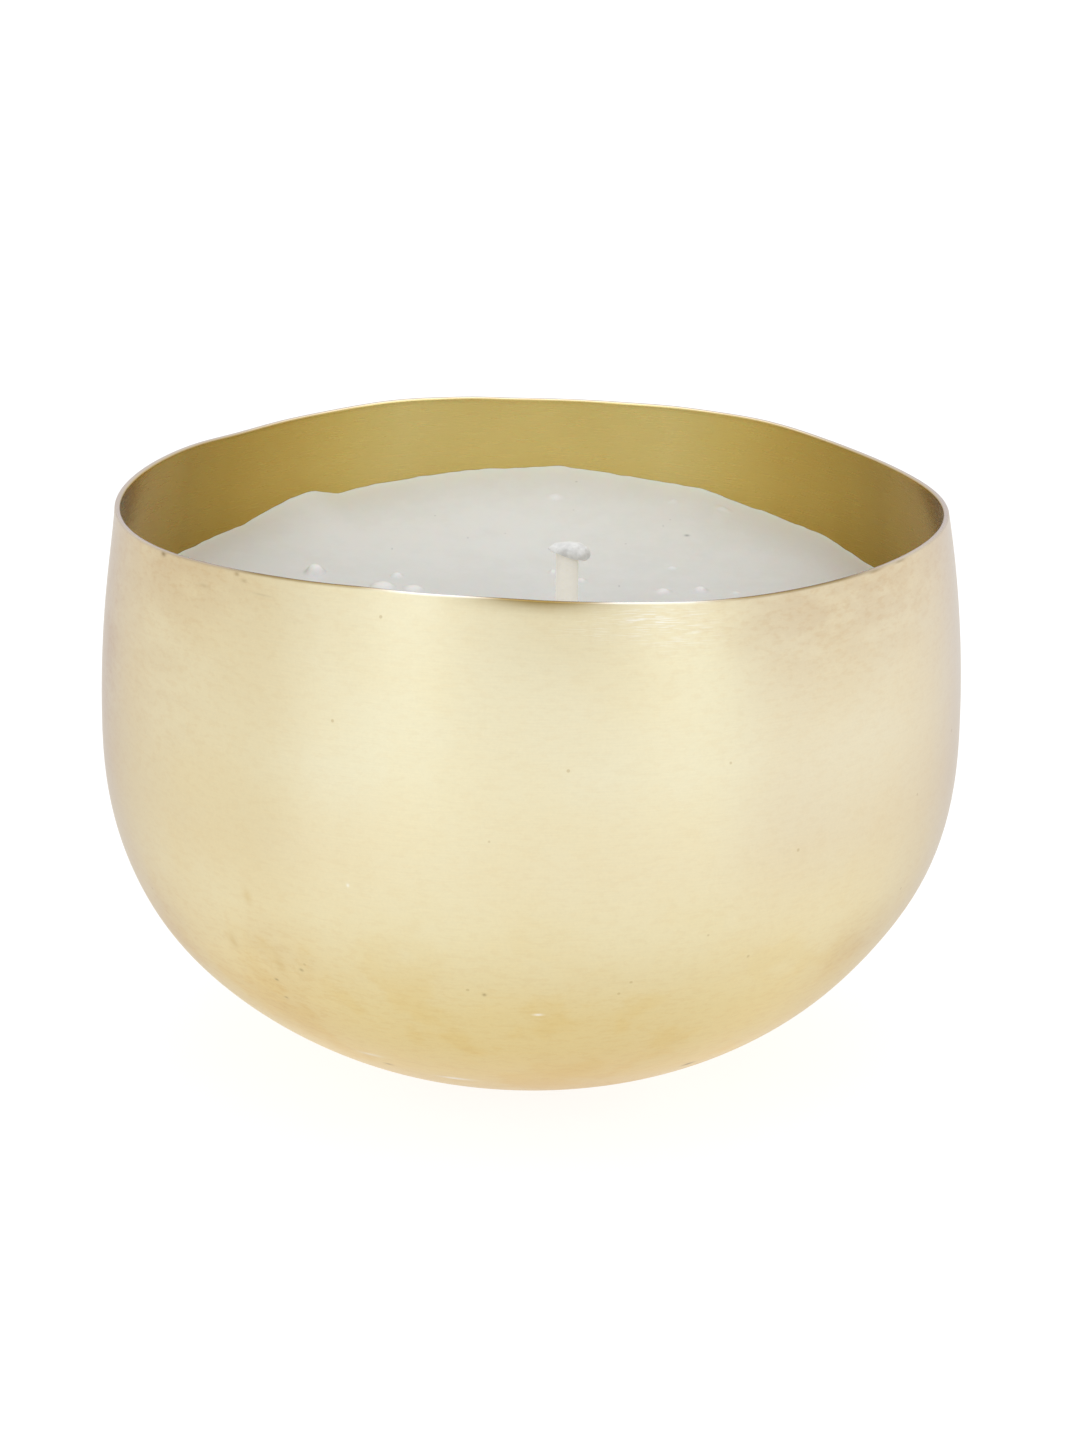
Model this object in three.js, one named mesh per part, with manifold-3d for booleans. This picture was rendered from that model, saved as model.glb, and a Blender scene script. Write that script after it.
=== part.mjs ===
// Bowl candle: a spun brass bowl, filled with poured wax round one cored wick.
// Millimetres, +Z up. The origin is the centre of the flat base, and the front is towards -Y.
// An azimuth is an angle about Z: 0 at +X, a quarter turn at +Y.

import * as THREE from 'three';
import { mergeVertices } from 'three/addons/utils/BufferGeometryUtils.js';
import Module from 'manifold-3d';

const wasm = await Module();
wasm.setup();

// Bowl
const bowlHeight = 75.5;        // mean height of the rim
const bellyHeight = 47.7;       // height of the widest ring
const bellyRadius = 57.5;
const rimRadius = 55.1;
const baseRadius = 21.0;        // edge of the flat base
const wall = 0.8;               // sheet thickness
const lipRadius = 0.3;          // rounding of the two edges of the rim
const basePower = 2.54;         // how square the side is where it leaves the base
const bellyPower = 1.32;        // how square the side is where it reaches the belly

// The hand-cut rim is not level. Each pair is the cosine and sine height of one more wave round it,
// and on those lie swells: azimuth and spread in degrees, rise in mm.
const rimWaves = [[-0.2, 0], [-0.7, 0], [0.27, -0.11], [0, -0.28]];
const rimSwells = [
  { azimuth: 139, spread: 5.5, rise: -0.36 },
  { azimuth: 110, spread: 8.0, rise: 0.62 },
  { azimuth: 99, spread: 3.0, rise: 0.12 },
  { azimuth: 69, spread: 4.0, rise: 0.13 },
  { azimuth: 54, spread: 8.5, rise: 0.53 },
  { azimuth: 22, spread: 8.0, rise: -0.1 },
  { azimuth: -76, spread: 6.0, rise: 0.25 },
  { azimuth: -94, spread: 10.0, rise: 0.38 },
  { azimuth: -112, spread: 4.0, rise: 0.12 },
];

// The bowl is not quite round: the rim flares on the left, and low down the side is slimmer and
// stands further left.
const rimFlare = [{ azimuth: 178, spread: 16, rise: 0.4 }];
const sideHeight = 17;          // where the side strays most
const sideSpread = 8;
const sideShift = -0.38;        // to the right
const sideSwell = -0.14;        // outwards

// Wax: depths below the mean rim height
const waxBackDepth = 9.75;      // where the wax climbs the back wall
const waxFrontDrop = 9.0;       // how much lower the rest of the surface lies
const waxSettling = 2.3;        // how fast it falls away from the back wall
const waxSideTilt = 0.8;        // extra depth on the right, and as much less on the left
const waxDish = 1.0;            // sink of the middle as the wax cooled
const waxGap = 0.2;             // between wax and bowl

// Swells of the wax line against the wall: azimuth and spread in degrees, rise in mm
const waxSwells = [
  { azimuth: 146, spread: 5.0, rise: -0.3 },
  { azimuth: 137, spread: 3.2, rise: -0.35 },
  { azimuth: 126, spread: 5.0, rise: 1.15 },
  { azimuth: 119.5, spread: 2.5, rise: -0.6 },
  { azimuth: 109, spread: 5.0, rise: -0.25 },
  { azimuth: 86, spread: 2.5, rise: 0.35 },
  { azimuth: 79, spread: 7.0, rise: 0.2 },
  { azimuth: 64.5, spread: 4.0, rise: 0.65 },
  { azimuth: 53, spread: 3.0, rise: 0.2 },
  { azimuth: 43, spread: 3.0, rise: 0.3 },
  { azimuth: 36, spread: 4.0, rise: -0.5 },
  { azimuth: 25, spread: 6.0, rise: -1.1 },
];

// Wick and what holds it
const wickX = 4.6;              // the wick stands a little right of the middle
const braidRadius = 1.5;
const braidBore = 0.6;
const coreRadius = 0.5;
const wickTop = 68.2;
const stickerRadius = 9.0;
const stickerThickness = 0.8;
const tabRadius = 10.0;
const tabThickness = 0.3;
const collarWall = 0.3;
const collarHeight = 8.0;       // above the tab's underside
const collarFillet = 0.6;
const collarBore = braidRadius + 0.1;
const layGap = 0.05;            // between faces that lie on each other
const cutGap = 0.3;             // between the wax and what is cast into it

// Wax bead on the wick's tip
const beadBottom = 67.6;
const beadHeight = 1.8;
const beadHalfWidth = 2.55;
const beadHalfDepth = 2.2;
const beadOffset = 0.45;        // its middle lies right of the wick
const beadTilt = 0.2;           // fall per mm to the right
const beadSocketDepth = 0.85;
const beadSocketGap = 0.2;

// Fineness
const spokes = 64;
const lowerRows = 12;
const upperRows = 5;
const waxUpperRows = 4;
const waxTopRows = 9;
const lipSteps = 2;
const smallSpokes = 24;

const stickerBottom = wall + layGap;
const tabBottom = stickerBottom + stickerThickness + layGap;
const tabTop = tabBottom + tabThickness;
const collarTop = tabBottom + collarHeight;
const collarRadius = collarBore + collarWall;

const finishes = {
  brass: new THREE.MeshStandardMaterial({ color: 0xdcc487, roughness: 0.38, metalness: 1.0 }),
  wax: new THREE.MeshStandardMaterial({ color: 0xe4e2dc, roughness: 0.55, metalness: 0.0 }),
  cotton: new THREE.MeshStandardMaterial({ color: 0xe6dcc3, roughness: 0.95, metalness: 0.0 }),
  core: new THREE.MeshStandardMaterial({ color: 0xf0ebdd, roughness: 0.9, metalness: 0.0 }),
  bead: new THREE.MeshStandardMaterial({ color: 0xe9ebe6, roughness: 0.3, metalness: 0.0 }),
  tinplate: new THREE.MeshStandardMaterial({ color: 0xb9bcbd, roughness: 0.35, metalness: 1.0 }),
  adhesive: new THREE.MeshStandardMaterial({ color: 0xf2f1ec, roughness: 0.85, metalness: 0.0 }),
};

// Height of a row of bell-shaped swells at an azimuth.
function swellsAt(swells, azimuth) {
  return swells.reduce((sum, { azimuth: middle, spread, rise }) => {
    const turn = azimuth - THREE.MathUtils.degToRad(middle);
    const away = THREE.MathUtils.radToDeg(Math.atan2(Math.sin(turn), Math.cos(turn)));
    return sum + rise * Math.exp(-0.5 * (away / spread) ** 2);
  }, 0);
}

// Height of the rim above its mean: a sum of cosine and sine waves round the bowl, and the swells.
function rimWave(azimuth) {
  return rimWaves.reduce((sum, [cosine, sine], i) => {
    const turn = (i + 1) * azimuth;
    return sum + cosine * Math.cos(turn) + sine * Math.sin(turn);
  }, swellsAt(rimSwells, azimuth));
}

// A point of the bowl moved from the even shape to the true one, at an azimuth.
function strayed([radius, height], azimuth) {
  if (radius === 0) return [radius, height];
  const low = Math.exp(-(((height - sideHeight) / sideSpread) ** 2));
  return [
    radius + low * (sideShift * Math.cos(azimuth) + sideSwell)
      + swellsAt(rimFlare, azimuth) * riseOf(height) ** 8,
    height + rimWave(azimuth) * riseOf(height) ** 2,
  ];
}

// How far up from the belly to the rim a height lies, 0 to 1.
function riseOf(height) {
  return Math.max(0, (height - bellyHeight) / (bowlHeight - bellyHeight));
}

// A point inside the lower side. The side is a superellipse, x^bellyPower + y^basePower = 1, taken
// at an even angle and moved inwards along its normal by a depth.
function lowerPoint(angle, depth) {
  const across = bellyRadius - baseRadius;
  const outward = Math.sin(angle) ** (2 / bellyPower);
  const upward = Math.cos(angle) ** (2 / basePower);
  const along = bellyPower * outward ** (bellyPower - 1) / across;
  const down = basePower * upward ** (basePower - 1) / bellyHeight;
  const length = Math.hypot(along, down);
  return [
    baseRadius + across * outward - depth * along / length,
    bellyHeight * (1 - upward) + depth * down / length,
  ];
}

// A point inside the upper side, at a height. The side is a parabola that leans in to the rim.
function upperPoint(height, depth) {
  const lean = bellyRadius - rimRadius;
  const slope = 2 * lean * riseOf(height) / (bowlHeight - bellyHeight);
  return [bellyRadius - lean * riseOf(height) ** 2 - depth * Math.hypot(1, slope), height];
}

// Points up the side from the base edge to a height, all at one depth inside it.
function sidePoints(depth, top, rows) {
  const points = [];
  for (let i = 0; i <= lowerRows; i++) {
    points.push(lowerPoint(Math.PI / 2 * i / lowerRows, depth));
  }
  for (let i = 1; i <= rows; i++) {
    points.push(upperPoint(bellyHeight + (top - bellyHeight) * i / rows, depth));
  }
  return points;
}

// Height of the wax at a fraction of the way out to the wall: it climbs the back wall as an
// exponential, leans a little to the right and is dished in the middle.
function waxHeight(fraction, azimuth) {
  const back = fraction * Math.sin(azimuth);
  const depth = waxBackDepth
    + waxFrontDrop * (1 - Math.exp(-waxSettling * (1 - back)))
    + waxSideTilt * fraction * Math.cos(azimuth)
    + waxDish * (1 - fraction ** 2);
  return bowlHeight - depth + swellsAt(waxSwells, azimuth) * fraction ** 8;
}

// A closed skin about Z. The outline gives its [radius, height] points, pole to pole, at an azimuth.
function turned(outline, count) {
  const points = outline(0).map(([radius, height]) => new THREE.Vector2(radius, height));
  const skin = new THREE.LatheGeometry(points, count).rotateX(Math.PI / 2);
  for (let spoke = 0; spoke <= count; spoke++) {
    const azimuth = 2 * Math.PI * spoke / count - Math.PI / 2;
    outline(azimuth).forEach(([radius, height], row) => {
      const [x, y] = [radius * Math.cos(azimuth), radius * Math.sin(azimuth)];
      skin.attributes.position.setXYZ(spoke * points.length + row, x, y, height);
    });
  }
  return skin;
}

// The same for a round piece, whose outline is one list of points.
function turnedRound(points) {
  return turned(() => points, smallSpokes);
}

// A solid for cutting: shared vertices merged, and the empty triangles at the poles dropped.
function toSolid(geometry) {
  geometry.deleteAttribute('normal');
  geometry.deleteAttribute('uv');
  const merged = mergeVertices(geometry, 1e-4);
  const triVerts = [];
  for (let i = 0; i < merged.index.count; i += 3) {
    const [a, b, c] = [0, 1, 2].map((corner) => merged.index.getX(i + corner));
    if (a !== b && b !== c && c !== a) triVerts.push(a, b, c);
  }
  return new wasm.Manifold(new wasm.Mesh({
    numProp: 3,
    vertProperties: merged.attributes.position.array,
    triVerts: Uint32Array.from(triVerts),
  }));
}

function fromSolid(solid) {
  const { vertProperties, triVerts } = solid.getMesh();
  const geometry = new THREE.BufferGeometry();
  geometry.setAttribute('position', new THREE.BufferAttribute(vertProperties, 3));
  geometry.setIndex(new THREE.BufferAttribute(triVerts, 1));
  return geometry;
}

// Bowl: out along the base, up the outside, over the rim, down the inside and back to the middle.
function bowl() {
  const outside = sidePoints(0, bowlHeight - lipRadius, upperRows);
  const inside = sidePoints(wall, bowlHeight - lipRadius, upperRows);
  const outerEdge = outside.at(-1)[0] - lipRadius;
  const innerEdge = inside.at(-1)[0] + lipRadius;
  const lip = [outerEdge, innerEdge].flatMap((middle, side) =>
    Array.from({ length: lipSteps }, (_, i) => {
      const angle = Math.PI / 2 * (side + (i + 1 - side) / lipSteps);
      return [middle + lipRadius * Math.cos(angle), bowlHeight - lipRadius * (1 - Math.sin(angle))];
    }));
  const profile = [[0, 0], ...outside, ...lip, ...inside.reverse(), [0, wall]];
  return turned((azimuth) => profile.map((point) => strayed(point, azimuth)), spokes);
}

// Wax: the bowl's inside up to the wax line, with the wick and its foot cast into it.
function waxFill() {
  const depth = wall + waxGap;
  const body = turned((azimuth) => {
    const side = sidePoints(depth, waxHeight(1, azimuth), waxUpperRows)
      .map((point) => [strayed(point, azimuth)[0], point[1]]);
    const surface = Array.from({ length: waxTopRows }, (_, i) => {
      const fraction = 1 - (i + 1) / waxTopRows;
      return [fraction * side.at(-1)[0], waxHeight(fraction, azimuth)];
    });
    return [[0, depth], ...side, ...surface];
  }, spokes);
  const cast = turnedRound([
    [0, 0],
    [tabRadius + cutGap, 0],
    [tabRadius + cutGap, tabTop + cutGap],
    [collarRadius + cutGap, tabTop + cutGap],
    [collarRadius + cutGap, collarTop + cutGap],
    [braidRadius + cutGap, collarTop + cutGap],
    [braidRadius + cutGap, bowlHeight],
    [0, bowlHeight],
  ]).translate(wickX, 0, 0);
  return fromSolid(toSolid(body).subtract(toSolid(cast)));
}

function wickBraid() {
  const bottom = tabBottom + layGap;
  return turnedRound([
    [braidBore, bottom],
    [braidRadius, bottom],
    [braidRadius, wickTop],
    [braidBore, wickTop],
    [braidBore, bottom],
  ]);
}

function wickCore() {
  const bottom = tabBottom + layGap;
  return turnedRound([[0, bottom], [coreRadius, bottom], [coreRadius, wickTop], [0, wickTop]]);
}

// Bead: an oval drop, drawn to a point on its left and tilted down to the right, with a socket below.
function wickBead() {
  const steps = 7;
  const bead = turned((azimuth) => {
    const point = 1 + 0.12 * Math.max(0, -Math.cos(azimuth)) ** 6;
    const reach = point / Math.hypot(
      Math.cos(azimuth) / beadHalfWidth,
      Math.sin(azimuth) / beadHalfDepth,
    );
    return Array.from({ length: steps + 1 }, (_, i) => {
      const angle = Math.PI * i / steps;
      const radius = i % steps ? reach * Math.sin(angle) ** 0.7 : 0;
      const x = radius * Math.cos(azimuth) + beadOffset;
      return [radius, beadBottom + beadHeight / 2 * (1 - Math.cos(angle)) - beadTilt * x];
    });
  }, smallSpokes).translate(beadOffset, 0, 0);
  const socketRadius = braidRadius + beadSocketGap;
  const socketTop = beadBottom + beadSocketDepth;
  const socket = turnedRound([
    [0, beadBottom - beadHeight],
    [socketRadius, beadBottom - beadHeight],
    [socketRadius, socketTop],
    [0, socketTop],
  ]);
  return fromSolid(toSolid(bead).subtract(toSolid(socket)));
}

// Tab: a stamped disc, drawn up in the middle into the collar that grips the wick.
function wickTab() {
  const fillet = Array.from({ length: 4 }, (_, i) => {
    const angle = Math.PI / 2 * i / 3;
    return [
      collarRadius + collarFillet * (1 - Math.sin(angle)),
      tabTop + collarFillet * (1 - Math.cos(angle)),
    ];
  });
  return turnedRound([
    [collarBore, tabBottom],
    [tabRadius, tabBottom],
    [tabRadius, tabTop],
    ...fillet,
    [collarRadius, collarTop],
    [collarBore, collarTop],
    [collarBore, tabBottom],
  ]);
}

function wickSticker() {
  const top = stickerBottom + stickerThickness;
  return turnedRound([[0, stickerBottom], [stickerRadius, stickerBottom], [stickerRadius, top], [0, top]]);
}

function piece(name, geometry, finish) {
  const mesh = new THREE.Mesh(geometry, finishes[finish]);
  mesh.name = name;
  return mesh;
}

const wick = new THREE.Group();
wick.position.x = wickX;
wick.add(
  piece('wick_braid', wickBraid(), 'cotton'),
  piece('wick_core', wickCore(), 'core'),
  piece('wick_bead', wickBead(), 'bead'),
  piece('wick_tab', wickTab(), 'tinplate'),
  piece('wick_sticker', wickSticker(), 'adhesive'),
);

const candle = new THREE.Group();
candle.add(piece('bowl', bowl(), 'brass'), piece('wax_fill', waxFill(), 'wax'), wick);

export default candle;
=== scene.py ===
import math

import bpy
import numpy as np
from mathutils import Matrix, Vector


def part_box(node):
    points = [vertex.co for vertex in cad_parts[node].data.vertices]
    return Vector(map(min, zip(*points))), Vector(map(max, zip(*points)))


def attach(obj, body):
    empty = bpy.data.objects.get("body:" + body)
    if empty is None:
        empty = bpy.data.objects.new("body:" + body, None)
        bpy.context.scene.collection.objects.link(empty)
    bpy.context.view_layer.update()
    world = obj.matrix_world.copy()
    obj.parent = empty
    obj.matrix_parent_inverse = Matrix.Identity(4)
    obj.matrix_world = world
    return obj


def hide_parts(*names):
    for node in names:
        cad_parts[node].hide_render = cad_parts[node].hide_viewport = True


# A brass bowl candle: bowl, wax, braided wick with its core and bead, and the wick's foot.
# Metres, +Z up, the front towards -Y. An azimuth is an angle about Z, 0 at +X.

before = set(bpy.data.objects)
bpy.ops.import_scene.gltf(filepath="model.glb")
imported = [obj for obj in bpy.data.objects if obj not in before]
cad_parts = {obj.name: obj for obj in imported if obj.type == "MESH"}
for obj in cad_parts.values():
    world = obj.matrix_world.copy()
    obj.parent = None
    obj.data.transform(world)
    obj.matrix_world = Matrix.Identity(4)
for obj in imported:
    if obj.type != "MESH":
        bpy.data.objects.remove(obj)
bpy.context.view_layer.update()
mm = 0.001


def nodeBox(name):
    low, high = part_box(name)
    return np.array(low), np.array(high)


def gauss(distance, spread):
    return np.exp(-0.5 * (distance / spread) ** 2)


def angleFrom(azimuth, middle):  # signed degrees from a middle given in degrees
    away = azimuth - math.radians(middle)
    return np.degrees(np.arctan2(np.sin(away), np.cos(away)))


# A closed mesh from a grid of points, rows by spokes. The spokes always close on themselves; the
# rows close on themselves too, or end in a pole at the middle of the first and last row.
def gridMesh(name, points, ring=False, attributes=None):
    rows, spokes = points.shape[:2]
    number = np.arange(rows * spokes).reshape(rows, spokes)
    low = number if ring else number[:-1]
    high = np.roll(number, -1, axis=0) if ring else number[1:]
    quads = np.stack([low, np.roll(low, -1, 1), np.roll(high, -1, 1), high], -1).reshape(-1, 4)
    flat = points.reshape(-1, 3)
    fans = np.empty((0, 3), int)
    if not ring:
        flat = np.vstack([flat, points[0].mean(0), points[-1].mean(0)])
        first, last = number[0], number[-1]
        bottom, top = rows * spokes, rows * spokes + 1
        fans = np.vstack([
            np.stack([np.roll(first, -1), first, np.full(spokes, bottom)], -1),
            np.stack([last, np.roll(last, -1), np.full(spokes, top)], -1),
        ])
    mesh = bpy.data.meshes.new(name)
    mesh.vertices.add(len(flat))
    mesh.vertices.foreach_set("co", flat.astype(np.float32).ravel())
    mesh.loops.add(quads.size + fans.size)
    mesh.loops.foreach_set("vertex_index", np.concatenate([quads.ravel(), fans.ravel()]))
    mesh.polygons.add(len(quads) + len(fans))
    starts = np.concatenate([np.arange(len(quads)) * 4, quads.size + np.arange(len(fans)) * 3])
    mesh.polygons.foreach_set("loop_start", starts)
    mesh.update(calc_edges=True)
    mesh.validate()
    mesh.shade_smooth()
    for key, values in (attributes or {}).items():
        ends = [] if ring else [values[0].mean(), values[-1].mean()]
        layer = mesh.attributes.new(key, "FLOAT", "POINT")
        layer.data.foreach_set("value", np.append(values.ravel(), ends).astype(np.float32))
    piece = bpy.data.objects.new(name, mesh)
    bpy.context.collection.objects.link(piece)
    return piece


# Points of a turned shape: x = r cos t, y = r sin t, z = h, for radius and height grids.
def turnedPoints(radius, height, azimuth, centre=(0, 0)):
    radius, height, azimuth = np.broadcast_arrays(radius, height, azimuth)
    x = centre[0] + radius * np.cos(azimuth)
    y = centre[1] + radius * np.sin(azimuth)
    return np.stack([x, y, height], -1)


def spokeAngles(count):
    return np.arange(count) * 2 * np.pi / count


class Wire:  # one output of a node; sums and products between wires and numbers add Math nodes
    def __init__(self, tree, socket):
        self.tree, self.socket = tree, socket

    def node(self, kind, settings=None, values=None, output=0):  # settings first, then sockets
        made = self.tree.nodes.new(kind)
        for key, value in (settings or {}).items():
            if key == "stops":
                ramp = made.color_ramp
                for _ in value[2:]:
                    ramp.elements.new(0.5)
                for element, (position, colour) in zip(ramp.elements, value):
                    element.position = position
                    element.color = (*colour, 1)
            else:
                setattr(made, key, value)
        for key, value in (values or {}).items():
            if isinstance(value, Wire):
                self.tree.links.new(value.socket, made.inputs[key])
            else:
                made.inputs[key].default_value = value
        return Wire(self.tree, made.outputs[output])

    def maths(self, operation, *others):
        return self.node("ShaderNodeMath", {"operation": operation},
                         dict(enumerate((self, *others))))

    def __add__(self, other):
        return self.maths("ADD", other)

    def __mul__(self, other):
        return self.maths("MULTIPLY", other)

    def __sub__(self, other):
        return self.maths("SUBTRACT", other)

    def __rsub__(self, other):
        return self * -1 + other

    def __truediv__(self, other):
        return self.maths("DIVIDE", other)

    __radd__, __rmul__ = __add__, __mul__

    def between(self, low, high):  # 0 below low, 1 above high, smooth in between
        return self.node("ShaderNodeMapRange", {"interpolation_type": "SMOOTHSTEP"},
                         {0: self, 1: low, 2: high})

    def ramp(self, stops):
        return self.node("ShaderNodeValToRGB", {"stops": stops}, {0: self})

    def times(self, vector):  # a vector times a vector
        return self.node("ShaderNodeVectorMath", {"operation": "MULTIPLY"}, {0: self, 1: vector})

    def noise(self, scale, detail=3.0, roughness=0.5):
        return self.node("ShaderNodeTexNoise", None, {
            "Vector": self, "Scale": scale, "Detail": detail, "Roughness": roughness})

    def spots(self, scale, radius, share, seed):  # round spots in a share of the cells
        moved = self.node("ShaderNodeVectorMath", {"operation": "ADD"}, {0: self, 1: seed})
        cells = {"Vector": moved, "Scale": scale}
        near = self.node("ShaderNodeTexVoronoi", None, cells)
        lot = self.node("ShaderNodeTexVoronoi", None, cells, 1)
        chosen = lot.maths("LESS_THAN", share)
        return (1 - near.between(radius * 0.5, radius)) * chosen

    def blob(self, centre, size):  # a bell curve of the distance from the centre, in sizes
        moved = self.node("ShaderNodeVectorMath", {"operation": "SUBTRACT"},
                          {0: self, 1: centre})
        scaled = self.node("ShaderNodeVectorMath", {"operation": "DIVIDE"}, {0: moved, 1: size})
        length = self.node("ShaderNodeVectorMath", {"operation": "LENGTH"}, {0: scaled}, 1)
        return (length * length * -1).maths("EXPONENT")

    def mix(self, first, second, blend="MIX"):  # this wire is the share of the second colour
        return self.node("ShaderNodeMix", {"data_type": "RGBA", "blend_type": blend},
                         {0: self, 6: rgba(first), 7: rgba(second)}, 2)

    def paint(self, share, colour):  # this colour, painted over in part
        return share.mix(self, colour)

    def tint(self, share, colour):  # this colour, multiplied in part
        return share.mix(self, colour, "MULTIPLY")


def rgba(colour):
    return colour if isinstance(colour, Wire) else (*colour, 1)


def newFinish(name, **constants):  # a Principled material, and wires for its place and sockets
    material = bpy.data.materials.new(name)
    material.use_nodes = True
    tree = material.node_tree
    shader = tree.nodes["Principled BSDF"]
    for key, value in constants.items():
        shader.inputs[key.replace("_", " ")].default_value = value
    place = Wire(tree, None).node("ShaderNodeTexCoord", None, None, 3)
    return material, place


def attribute(wire, name):
    return wire.node("ShaderNodeAttribute", {"attribute_name": name}, None, 2)


def feed(material, **wires):
    tree = material.node_tree
    shader = tree.nodes["Principled BSDF"]
    for key, wire in wires.items():
        tree.links.new(wire.socket, shader.inputs[key.replace("_", " ")])


def bump(wire, strength, distance):
    return wire.node("ShaderNodeBump", None,
                     {"Strength": strength, "Distance": distance, "Height": wire})


def dress(piece, material, node):
    piece.data.materials.append(material)
    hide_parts(node)
    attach(piece, "root")


bowl = {
    "height": 75.5 * mm,            # mean height of the rim
    "bellyHeight": 47.7 * mm,
    "bellyRadius": nodeBox("bowl")[1][0],
    "rimRadius": 55.1 * mm,
    "baseRadius": 21.0 * mm,
    "wall": 0.8 * mm,
    "lip": 0.3 * mm,                # rounding of the rim's edges
    "basePower": 2.54,
    "bellyPower": 1.32,
    "waves": [(-0.2, 0), (-0.7, 0), (0.27, -0.11), (0, -0.28)],   # of the rim, in mm
    "swells": [                 # of the rim: azimuth, spread, rise in mm
        (139, 5.5, -0.36), (110, 8.0, 0.62), (99, 3.0, 0.12), (69, 4.0, 0.13), (54, 8.5, 0.53),
        (22, 8.0, -0.1), (-76, 6.0, 0.25), (-94, 10.0, 0.38), (-112, 4.0, 0.12),
    ],
    "flare": [(178, 16, 0.4)],  # of the rim outwards, in the same order
    "strayHeight": 17 * mm,     # where the side is slimmest and stands furthest left
    "straySpread": 8 * mm,
    "strayRight": -0.38 * mm,
    "strayOut": -0.14 * mm,
    "spokes": 384,
    "lowerRows": 50,
    "upperRows": 44,
    "lipRows": 5,
    "baseRows": 12,
    "tones": [                  # height in mm and colour of the metal outside, with reflection and shade painted in by height
        (0, (0.86, 0.70, 0.43)), (8, (0.86, 0.70, 0.365)), (14, (0.80, 0.655, 0.322)),
        (20, (0.777, 0.643, 0.330)), (26, (0.775, 0.665, 0.387)), (33, (0.805, 0.715, 0.455)),
        (42, (0.825, 0.735, 0.488)), (54, (0.865, 0.795, 0.555)), (76, (0.895, 0.815, 0.560)),
    ],
    "marks": [                  # kind, azimuth, height in mm, their two spreads and a strength
        ("stain", -146, 76, 13, 6.0, 0.9), ("stain", -148, 58, 12, 8.0, 0.35),
        ("stain", -166, 58, 4, 9.0, 0.7), ("stain", -44, 75, 18, 8.0, 0.9),
        ("stain", -127, 26, 7, 5.0, 0.35), ("stain", -130, 16, 6, 4.0, 0.45),
        ("stain", -36, 24, 5, 3.0, 0.4), ("stain", -156, 22, 9, 8.0, 0.5),
        # smear marks: a darker olive band at the front rim and under it
        ("smear", -89, 76.2, 5.5, 1.0, 1.2), ("smear", -87, 72, 6, 4.0, 0.08),
        # scuff marks: painted highlights, pale glints of scratch streaks near the rim
        ("scuff", -74, 73.5, 5, 1.0, 0.8), ("scuff", -70, 71, 4, 1.2, 0.4),
        ("scuff", -80, 72, 5, 0.8, 0.3),
        # edge marks: painted dark reflection on the lip; glint marks: painted highlights on it
        ("edge", -142, 76, 6, 9.0, 0.4), ("edge", -121, 76, 7, 9.0, 1.8),
        ("edge", -88, 76, 4.7, 9.0, 2.4), ("edge", -53, 76, 9, 9.0, 1.5),
        ("glint", -103, 76, 3.4, 9.0, 2.0), ("glint", -74, 76, 3.8, 9.0, 2.2),
    ],
    "nicks": [                  # middle and size along each axis, in mm, and a strength
        ((-47.0, -28.9, 74.9), (0.6, 0.6, 0.3), 0.8), ((-36.9, -40.9, 75.6), (0.4, 0.4, 0.25), 0.5),
        ((-35.9, -41.8, 75.0), (0.5, 0.5, 0.25), 0.3), ((-41.3, -37.1, 73.0), (0.9, 0.9, 0.2), 0.2),
        ((-33.7, -44.0, 73.8), (1.5, 1.5, 0.14), 0.18), ((43.4, -34.0, 75.1), (1.3, 1.6, 0.2), 0.5),
        ((46.9, -29.0, 75.1), (1.0, 1.6, 0.16), 0.5), ((49.5, -24.2, 75.4), (0.8, 1.5, 0.14), 0.4),
        ((21.2, -29.6, 6.7), (0.9, 0.6, 0.45), 0.8), ((-18.0, -33.0, 7.5), (0.6, 0.5, 0.3), 0.5),
        ((-28.8, -44.4, 24.4), (0.3, 0.3, 0.25), 0.5), ((-32.2, -40.0, 21.5), (0.3, 0.3, 0.2), 0.6),
        ((-31.0, -38.3, 18.5), (0.3, 0.3, 0.2), 0.5), ((-5.4, -52.5, 24.2), (0.25, 0.3, 0.25), 0.6),
    ],
    "dabs": [                   # brownish ones, in the same order
        ((-35.7, -43.5, 33.8), (0.7, 0.7, 1.2), 0.4), ((-37.8, -38.1, 26.0), (0.8, 0.8, 1.5), 0.45),
        ((-31.6, -42.5, 24.5), (0.9, 0.9, 1.8), 0.4), ((-33.0, -40.6, 27.0), (2.2, 2.2, 2.6), 0.25),
    ],
    "scratches": [              # pale ones
        ((-9.5, -34.2, 6.0), (2.2, 1.0, 0.3), 0.8), ((-20.4, -34.8, 9.5), (2.0, 1.2, 0.3), 0.5),
        ((1.4, -51.0, 21.0), (0.6, 0.5, 0.18), 0.8), ((-22.6, -52.4, 38.5), (0.2, 0.2, 0.25), 0.6),
    ],
    "insideToneAndReflection": [                 # share of front or back in the azimuth, and colour of the inside with reflection and shade painted in
        (0.0, (0.70, 0.55, 0.12)), (0.17, (0.69, 0.49, 0.105)), (0.34, (0.56, 0.39, 0.10)),
        (0.5, (0.475, 0.325, 0.08)), (0.64, (0.52, 0.355, 0.085)), (0.77, (0.625, 0.44, 0.117)),
        (0.87, (0.72, 0.54, 0.165)), (0.94, (0.785, 0.62, 0.23)), (1.0, (0.795, 0.62, 0.222)),
    ],
}


# Height of a row of bell curves in azimuth.
def swellsAt(swells, azimuth):
    total = np.zeros_like(azimuth)
    for middle, spread, rise in swells:
        total += rise * mm * gauss(angleFrom(azimuth, middle), spread)
    return total


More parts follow.
